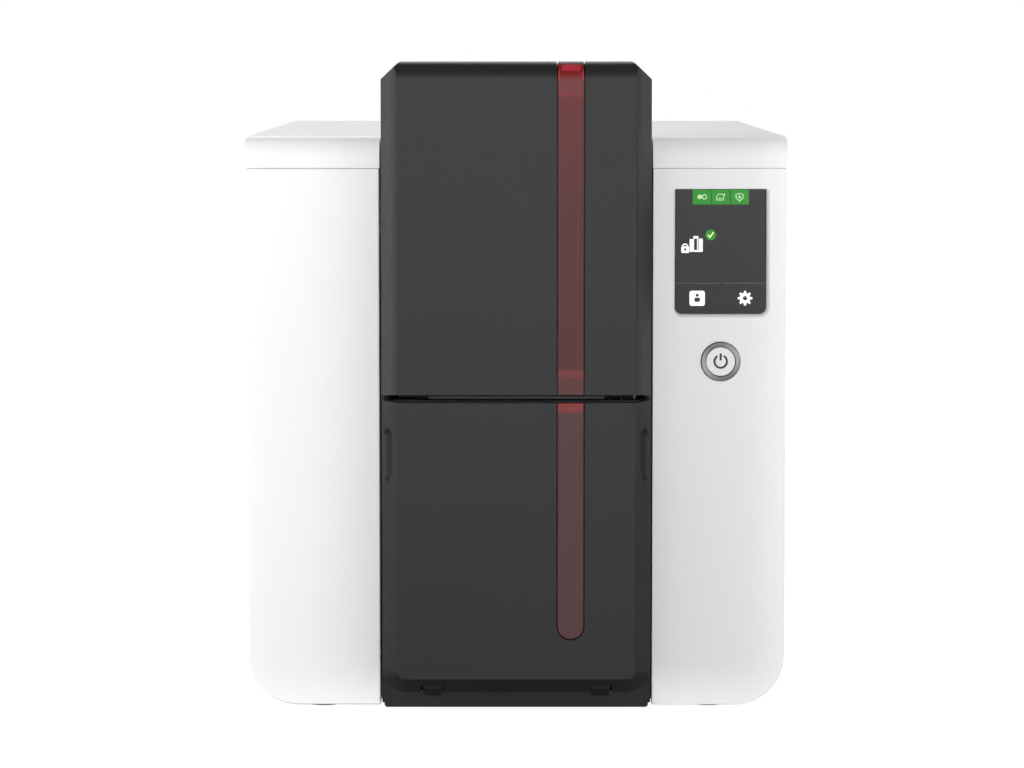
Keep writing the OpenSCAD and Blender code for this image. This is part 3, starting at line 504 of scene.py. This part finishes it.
def piece_from(node, width=0.0003, segs=2, mat=None, angle=32):
    log = []
    for w, dis in ((width, True), (width, False), (width * 0.5, True), (width * 0.5, False), (0, False)):
        me = clean_copy(node, dis)
        me.name = "skin_" + node
        ob = link(bpy.data.objects.new("skin_" + node, me))
        me.materials.clear()
        me.materials.append(mat or MAT[SLOT_OF[node]])
        round_edges(ob, w, segs, angle)
        if w == 0:
            log.append("plain")
            break
        worst, holes, vol = strays(ob, node, w)
        log.append("w%.2f d%d far%.3f open%d" % (w * 1000, dis, worst * 1000, holes))
        if worst < w * 1.05 and holes == 0 and vol > 0:
            break
        bpy.data.objects.remove(ob)
        bpy.data.meshes.remove(me)
    print("PIECE", node, len(me.polygons), "; ".join(log))
    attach(ob, BODY_OF[node])
    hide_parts(node)
    return ob


def mesh_piece(name, verts, faces, mat, body, smooth=True):
    me = bpy.data.meshes.new(name)
    me.from_pydata([tuple(v) for v in verts], [], faces)
    me.update()
    ob = link(bpy.data.objects.new(name, me))
    me.materials.append(mat)
    bm = bmesh.new()
    bm.from_mesh(me)
    bmesh.ops.recalc_face_normals(bm, faces=bm.faces)
    bm.to_mesh(me)
    bm.free()
    if smooth:
        for p in me.polygons:
            p.use_smooth = True
    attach(ob, body)
    return ob


def prism(points, y0, y1):
    """Closed outline in (X, Z) between two planes of Y: verts and faces."""
    n = len(points)
    v = [(x, y0, z) for x, z in points] + [(x, y1, z) for x, z in points]
    f = [tuple(range(n)), tuple(range(2 * n - 1, n - 1, -1))]
    f += [(i, (i + 1) % n, n + (i + 1) % n, n + i) for i in range(n)]
    return v, f


def circle_pts(cx, cz, r, n=32, a0=0.0, a1=360.0):
    full = abs(a1 - a0) >= 360
    k = n if full else n + 1
    return [(cx + r * math.cos(math.radians(a0 + (a1 - a0) * i / n)), cz + r * math.sin(math.radians(a0 + (a1 - a0) * i / n))) for i in range(k)]


def rounded_rect(x0, x1, z0, z1, r, n=6, corners=(1, 1, 1, 1)):
    """Outline with rounded corners, in the order lower left, lower right, upper right, upper left."""
    pts = []
    for (cx, cz, a), on in zip(((x0 + r, z0 + r, 180), (x1 - r, z0 + r, 270), (x1 - r, z1 - r, 0), (x0 + r, z1 - r, 90)), corners):
        if on:
            pts += circle_pts(cx, cz, r, n, a, a + 90)
        else:
            pts.append((x0 if a in (180, 90) else x1, z0 if a in (180, 270) else z1))
    return pts


# ------------------------------------------------------------------ every node, with its edges rounded
WIDTH = {
    "left_cover": (0.0007, 4), "right_cover": (0.0007, 4), "hood": (0.0006, 4), "rear_panel": (0.0004, 3),
    "front_bezel": (0.0005, 3), "feeder_door": (0.0007, 4), "output_door": (0.0005, 3), "output_bin": (0.0005, 3),
    "base_pan": (0.0006, 3), "rubber_feet": (0.0006, 3), "feeder_window": (0.0001, 2), "output_window": (0.0001, 2),
}
MAT["dark_steel"] = metal("dark_steel", (0.010, 0.010, 0.011), (0.018, 0.018, 0.019), (0.45, 0.6), (1, 40, 40), 30, 0.05)
LOOK = {"output_hinge_pins": "dark_steel"}
for n in sorted(NODES):
    w, s = WIDTH.get(n, (0.0002, 2))
    piece_from(n, w, s, MAT[LOOK[n]] if n in LOOK else None)

# ------------------------------------------------------------------ screen pictures
GLASS_Y = -0.1192
SCREEN_MATS = {
    "green": glow("screen_green", (0.028, 0.222, 0.026), (0.031, 0.238, 0.029), 0.45),
    "white": glow("screen_white", (0.80, 0.80, 0.80), (0.86, 0.86, 0.86), 0.5),
    "pale": glow("screen_pale", (0.50, 0.74, 0.46), (0.54, 0.78, 0.50), 0.3),
    "line": glow("screen_line", (0.060, 0.0585, 0.0592), (0.064, 0.0622, 0.063), 0.5),
    "dark": glow("screen_dark", (0.03, 0.0285, 0.029), (0.033, 0.0312, 0.032), 0.5),
    "tick": glow("screen_tick", (0.75, 0.86, 0.42), (0.8, 0.9, 0.46), 0.4),
}


def shot(name, outlines, colour, level=0):
    """Flat picture on the screen from closed outlines in the photograph's pixels."""
    verts, faces = [], []
    front = GLASS_Y - 0.00004 * (level + 1)
    for pts in outlines:
        pv, pf = prism([px(u, v, GLASS_Y) for u, v in pts], front, GLASS_Y + 0.00006)
        k = len(verts)
        verts += pv
        faces += [tuple(i + k for i in f) for f in pf]
    return mesh_piece("screen_" + name, verts, faces, SCREEN_MATS[colour], "chassis", smooth=False)


def rect(u0, u1, v0, v1, r=0.0, n=4):
    if r <= 0:
        return [(u0, v0), (u1, v0), (u1, v1), (u0, v1)]
    return rounded_rect(u0, u1, v0, v1, r, n)


def band_arc(cu, cv, ro, ri, a0, a1, n=20):
    """Part of a ring as one closed outline."""
    return circle_pts(cu, cv, ro, n, a0, a1) + circle_pts(cu, cv, ri, n, a0, a1)[::-1]


def ring_outlines(cu, cv, ro, ri, n=20):
    return [band_arc(cu, cv, ro, ri, 0, 180, n), band_arc(cu, cv, ro, ri, 180, 359.99, n)]


def stroke(points, w):
    """Thin bars along a path."""
    out = []
    for (u0, v0), (u1, v1) in zip(points, points[1:]):
        ln = math.hypot(u1 - u0, v1 - v0)
        nu, nv = -(v1 - v0) / ln * w / 2, (u1 - u0) / ln * w / 2
        eu, ev = (u1 - u0) / ln * w / 2, (v1 - v0) / ln * w / 2
        out.append([(u0 - eu + nu, v0 - ev + nv), (u1 + eu + nu, v1 + ev + nv), (u1 + eu - nu, v1 + ev - nv), (u0 - eu - nu, v0 - ev - nv)])
    return out


shot("tiles", [rect(692.7, 711.1, 189.6, 204.4), rect(711.7, 729.9, 189.6, 204.4), rect(730.6, 748.8, 189.6, 204.4)], "green")
shot("tile_dot", [circle_pts(699.7, 196.8, 2.3, 20)] + ring_outlines(704.3, 196.8, 2.6, 1.7) + stroke([(700, 196.8), (703, 196.8)], 0.7), "pale", 1)
shot("tile_cards", stroke([(716.6, 200.0), (716.6, 196.8), (718.4, 194.2), (725.0, 194.2), (723.4, 196.8), (723.4, 200.0), (716.6, 200.0)], 0.8)
     + stroke([(718.6, 198.2), (721.4, 198.2)], 0.7), "pale", 1)
shot("tile_shield", stroke([(735.9, 194.4), (739.6, 193.4), (743.3, 194.4), (743.0, 198.0), (739.6, 201.2), (736.2, 198.0), (735.9, 194.4)], 0.8)
     + stroke([(739.6, 195.4), (739.6, 198.9)], 0.8) + stroke([(737.8, 197.0), (741.4, 197.0)], 0.8), "pale", 1)
shot("lock", [rect(681.2, 689.2, 246.3, 252.9, 1.2)] + [band_arc(685.1, 246.6, 3.2, 1.9, 180, 360)], "white")
shot("lock_hole", [circle_pts(685.2, 249.3, 1.1, 14)], "dark", 1)
shot("machine", [rect(689.6, 693.2, 239.0, 251.9, 0.8), rect(693.2, 698.6, 236.0, 251.9, 1.0), rect(698.6, 702.8, 238.6, 251.9, 0.8)], "white")
shot("machine_slot", [rect(694.0, 697.0, 238.6, 250.0, 0.3), rect(697.9, 698.5, 238.0, 250.4)], "dark", 1)
shot("ready", [circle_pts(710.7, 235.0, 5.3, 32)], "green")
shot("ready_tick", stroke([(708.3, 235.3), (710.1, 237.2), (713.2, 232.6)], 1.3), "tick", 1)
shot("rules", [rect(675.9, 720.2, 282.6, 283.8), rect(722.4, 766.2, 282.6, 283.8)], "line")
shot("page", [rect(689.4, 704.9, 290.7, 305.8, 2.2)], "white")
shot("page_mark", [circle_pts(697.2, 295.2, 1.5, 14), rounded_rect(694.4, 700.0, 297.6, 301.8, 1.4, 4)], "dark", 1)
gear = []
for i in range(8):
    a = 45.0 * i
    for off, r in ((-13, 5.4), (-9, 7.4), (9, 7.4), (13, 5.4)):
        gear.append((745.0 + r * math.cos(math.radians(a + off)), 298.2 + r * math.sin(math.radians(a + off))))
shot("gear", [gear], "white")
shot("gear_hole", [circle_pts(745.0, 298.2, 2.1, 16)], "dark", 1)

# painted shadow round the glass, on the cover: three thin grey layers, darkest next to the glass, stand in for the
# soft shade at the right and below
RU0, RU1, RV0, RV1, RR = 674.9, 765.9, 190.0, 313.5, 7.0
RIM_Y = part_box("right_cover")[0][1]


def rim_path(o, side):
    pts = [(RU1 + o, RV0)]
    for i in range(9):
        a = math.radians(90.0 * i / 8)
        pts.append((RU1 - RR + (RR + o) * math.cos(a), RV1 - RR + (RR + o) * math.sin(a)))
    for i in range(9):
        a, r = math.radians(90.0 + 90.0 * i / 8), RR + o + (side - o) * i / 8
        pts.append((RU0 + RR + r * math.cos(a), RV1 - RR + r * math.sin(a)))
    return pts + [(RU0 - side, RV0)]


for i, (o0, o1, s0, s1, tone) in enumerate(((0.42, 1.35, 0.42, 0.75, 0.37), (1.35, 2.6, 0.75, 1.0, 0.54), (2.6, 4.0, 1.0, 1.25, 0.68))):
    outline = [px(u, v, RIM_Y) for u, v in rim_path(o1, s1) + rim_path(o0, s0)[::-1]]
    rim_v, rim_f = prism(outline, RIM_Y - 0.00003, RIM_Y + 0.0006)
    mesh_piece("screen_rim_%d" % (i + 1), rim_v, rim_f,
               moulded("rim_%d" % (i + 1), (tone,) * 3, (tone + 0.015,) * 3, (0.34, 0.44), 1100, 0.05, 0.3),
               BODY_OF["right_cover"], smooth=False)

# dark paint in the engraved power mark, on the button cap
BX, BZ, BY = 0.0774, 0.1337, -0.1198
paint = moulded("mark_paint", (0.030, 0.030, 0.031), (0.036, 0.036, 0.037), (0.4, 0.5), 1200, 0.05, 0.3)
gap = math.degrees(math.asin(1.15 / 2.375))
arc = circle_pts(BX, BZ, 0.00272, 40, 90 + gap, 450 - gap) + circle_pts(BX, BZ, 0.00203, 40, 90 + gap, 450 - gap)[::-1]
v1, f1 = prism(arc, BY + 0.00004, BY + 0.00026)
v2, f2 = prism([(BX - 0.00037, BZ + 0.00043), (BX + 0.00037, BZ + 0.00043), (BX + 0.00037, BZ + 0.00307), (BX - 0.00037, BZ + 0.00307)], BY + 0.00004, BY + 0.00026)
mesh_piece("power_mark", v1 + v2, f1 + [tuple(i + len(v1) for i in f) for f in f2], paint, BODY_OF["power_button"], smooth=False)

# ------------------------------------------------------------------ floor and light
floor_me = bpy.data.meshes.new("floor")
floor_me.from_pydata([(-9, -9, 0), (9, -9, 0), (9, 9, 0), (-9, 9, 0)], [], [(0, 1, 2, 3)])
floor = link(bpy.data.objects.new("floor", floor_me))
fm, fnt, fb, fo = material("floor_painted_shade")
fv = coords(fnt)
fln = fnt.nodes.new("ShaderNodeVectorMath")
fln.operation = "LENGTH"
fnt.links.new(fv, fln.inputs[0])
# grey floor with faint clouding; painted shade darkens it round and under the machine, fading out by 0.9 m
far = two_tone(fnt, noise(fnt, fv, 3.0, 2.0), (0.64, 0.64, 0.64), (0.67, 0.67, 0.67))
painted_shade_near = remap(fnt, fln.outputs["Value"], 0.25, 0.9, 1.0, 0.0)
fnt.links.new(mix_col(fnt, painted_shade_near, far, (0.36, 0.36, 0.36)), fb.inputs["Base Color"])
fb.inputs["Roughness"].default_value = 0.9
fb.inputs["Specular IOR Level"].default_value = 0.0
fb.inputs["Emission Color"].default_value = (1, 1, 1, 1)
lp = fnt.nodes.new("ShaderNodeLightPath")
fnt.links.new(remap(fnt, lp.outputs["Is Camera Ray"], 0, 1, 0.0, 0.95), fb.inputs["Emission Strength"])
floor_me.materials.append(fm)

# a studio with a bright band at eye height, dimmer overhead and below, as soft boxes round a table give
world = bpy.data.worlds.new("studio")
bpy.context.scene.world = world
world.use_nodes = True
wt = world.node_tree
bg = wt.nodes["Background"]
wtc = wt.nodes.new("ShaderNodeTexCoord")
wsep = wt.nodes.new("ShaderNodeSeparateXYZ")
wt.links.new(wtc.outputs["Generated"], wsep.inputs[0])
wramp = wt.nodes.new("ShaderNodeValToRGB")
wr = wramp.color_ramp
wr.interpolation = "EASE"
BAND = ((0.0, 0.25), (0.36, 0.62), (0.43, 1.45), (0.56, 1.45), (0.67, 0.19), (1.0, 0.33))
wr.elements[0].position, wr.elements[0].color = BAND[0][0], (BAND[0][1],) * 3 + (1,)
wr.elements[1].position, wr.elements[1].color = BAND[-1][0], (BAND[-1][1],) * 3 + (1,)
for pos, val in BAND[1:-1]:
    e = wr.elements.new(pos)
    e.color = (val, val, val, 1)
wt.links.new(remap(wt, wsep.outputs["Z"], -1, 1, 0, 1), wramp.inputs["Fac"])
wlp = wt.nodes.new("ShaderNodeLightPath")
wmix = wt.nodes.new("ShaderNodeMix")
wmix.data_type = "RGBA"
wt.links.new(wlp.outputs["Is Camera Ray"], wmix.inputs["Factor"])
side = remap(wt, wsep.outputs["X"], -1, 1, 1.32, 0.68)
wlit = wt.nodes.new("ShaderNodeVectorMath")
wlit.operation = "SCALE"
wt.links.new(wramp.outputs["Color"], wlit.inputs[0])
wt.links.new(side, wlit.inputs["Scale"])
wt.links.new(wlit.outputs[0], wmix.inputs[6])
wmix.inputs[7].default_value = (1, 1, 1, 1)
wt.links.new(wmix.outputs[2], bg.inputs["Color"])
bg.inputs["Strength"].default_value = 1.0


def area(name, loc, target, size, power, size_y=None):
    d = bpy.data.lights.new(name, "AREA")
    d.shape = "RECTANGLE"
    d.size = size
    d.size_y = size_y or size
    d.energy = power
    o = bpy.data.objects.new(name, d)
    o.location = loc
    o.rotation_euler = (Vector(target) - Vector(loc)).to_track_quat("-Z", "Y").to_euler()
    COL.objects.link(o)
    return o


area("key", (-1.0, -1.2, 0.3), (-0.05, -0.1, 0.12), 0.7, 12.5)
area("fill", (1.7, -1.8, 0.45), (0, -0.1, 0.12), 1.0, 21)
area("front", (0.3, -2.6, 0.3), (0, -0.1, 0.12), 1.6, 20, 0.9)
area("back", (-0.3, 1.9, 1.7), (0, 0.05, 0.2), 1.2, 18)

sc = bpy.context.scene
sc.view_settings.view_transform = "Standard"
sc.view_settings.look = "None"
sc.view_settings.exposure = 0.0
sc.view_settings.gamma = 1.0
